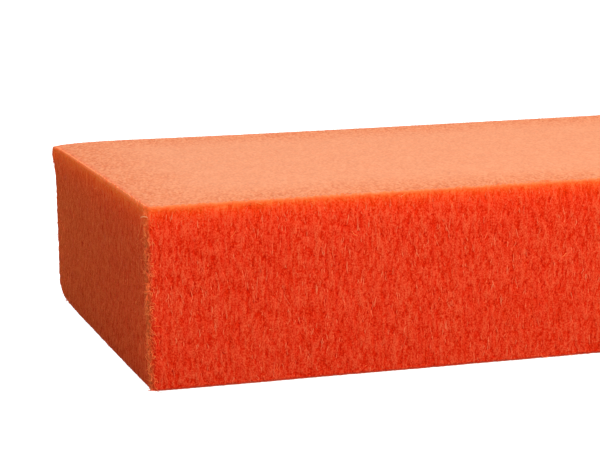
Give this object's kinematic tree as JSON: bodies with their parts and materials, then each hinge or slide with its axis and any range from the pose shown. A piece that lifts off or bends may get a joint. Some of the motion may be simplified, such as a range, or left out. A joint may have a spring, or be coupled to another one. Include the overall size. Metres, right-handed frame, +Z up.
{
  "type": "nail buffer block",
  "caption": "Slim rectangular foam nail buffer block with a gritty abrasive sheet bonded over its upper and lower faces and bare cut foam sides.",
  "frame": {"origin": "centre of the underside, on the surface the block rests on", "axes": "+X along the block's length, +Y across its width, +Z up through its thickness"},
  "size_m": [0.095, 0.035, 0.0125],
  "materials": {
    "foam": "matte",
    "adhesive": "satin",
    "backing": "matte",
    "grit": "matte"
  },
  "bodies": {
    "root": {"foam_core": "foam", "upper_adhesive_film": "adhesive", "lower_adhesive_film": "adhesive", "upper_backing_sheet": "backing", "lower_backing_sheet": "backing", "upper_grit_coat": "grit", "lower_grit_coat": "grit"}
  },
  "joints": []
}
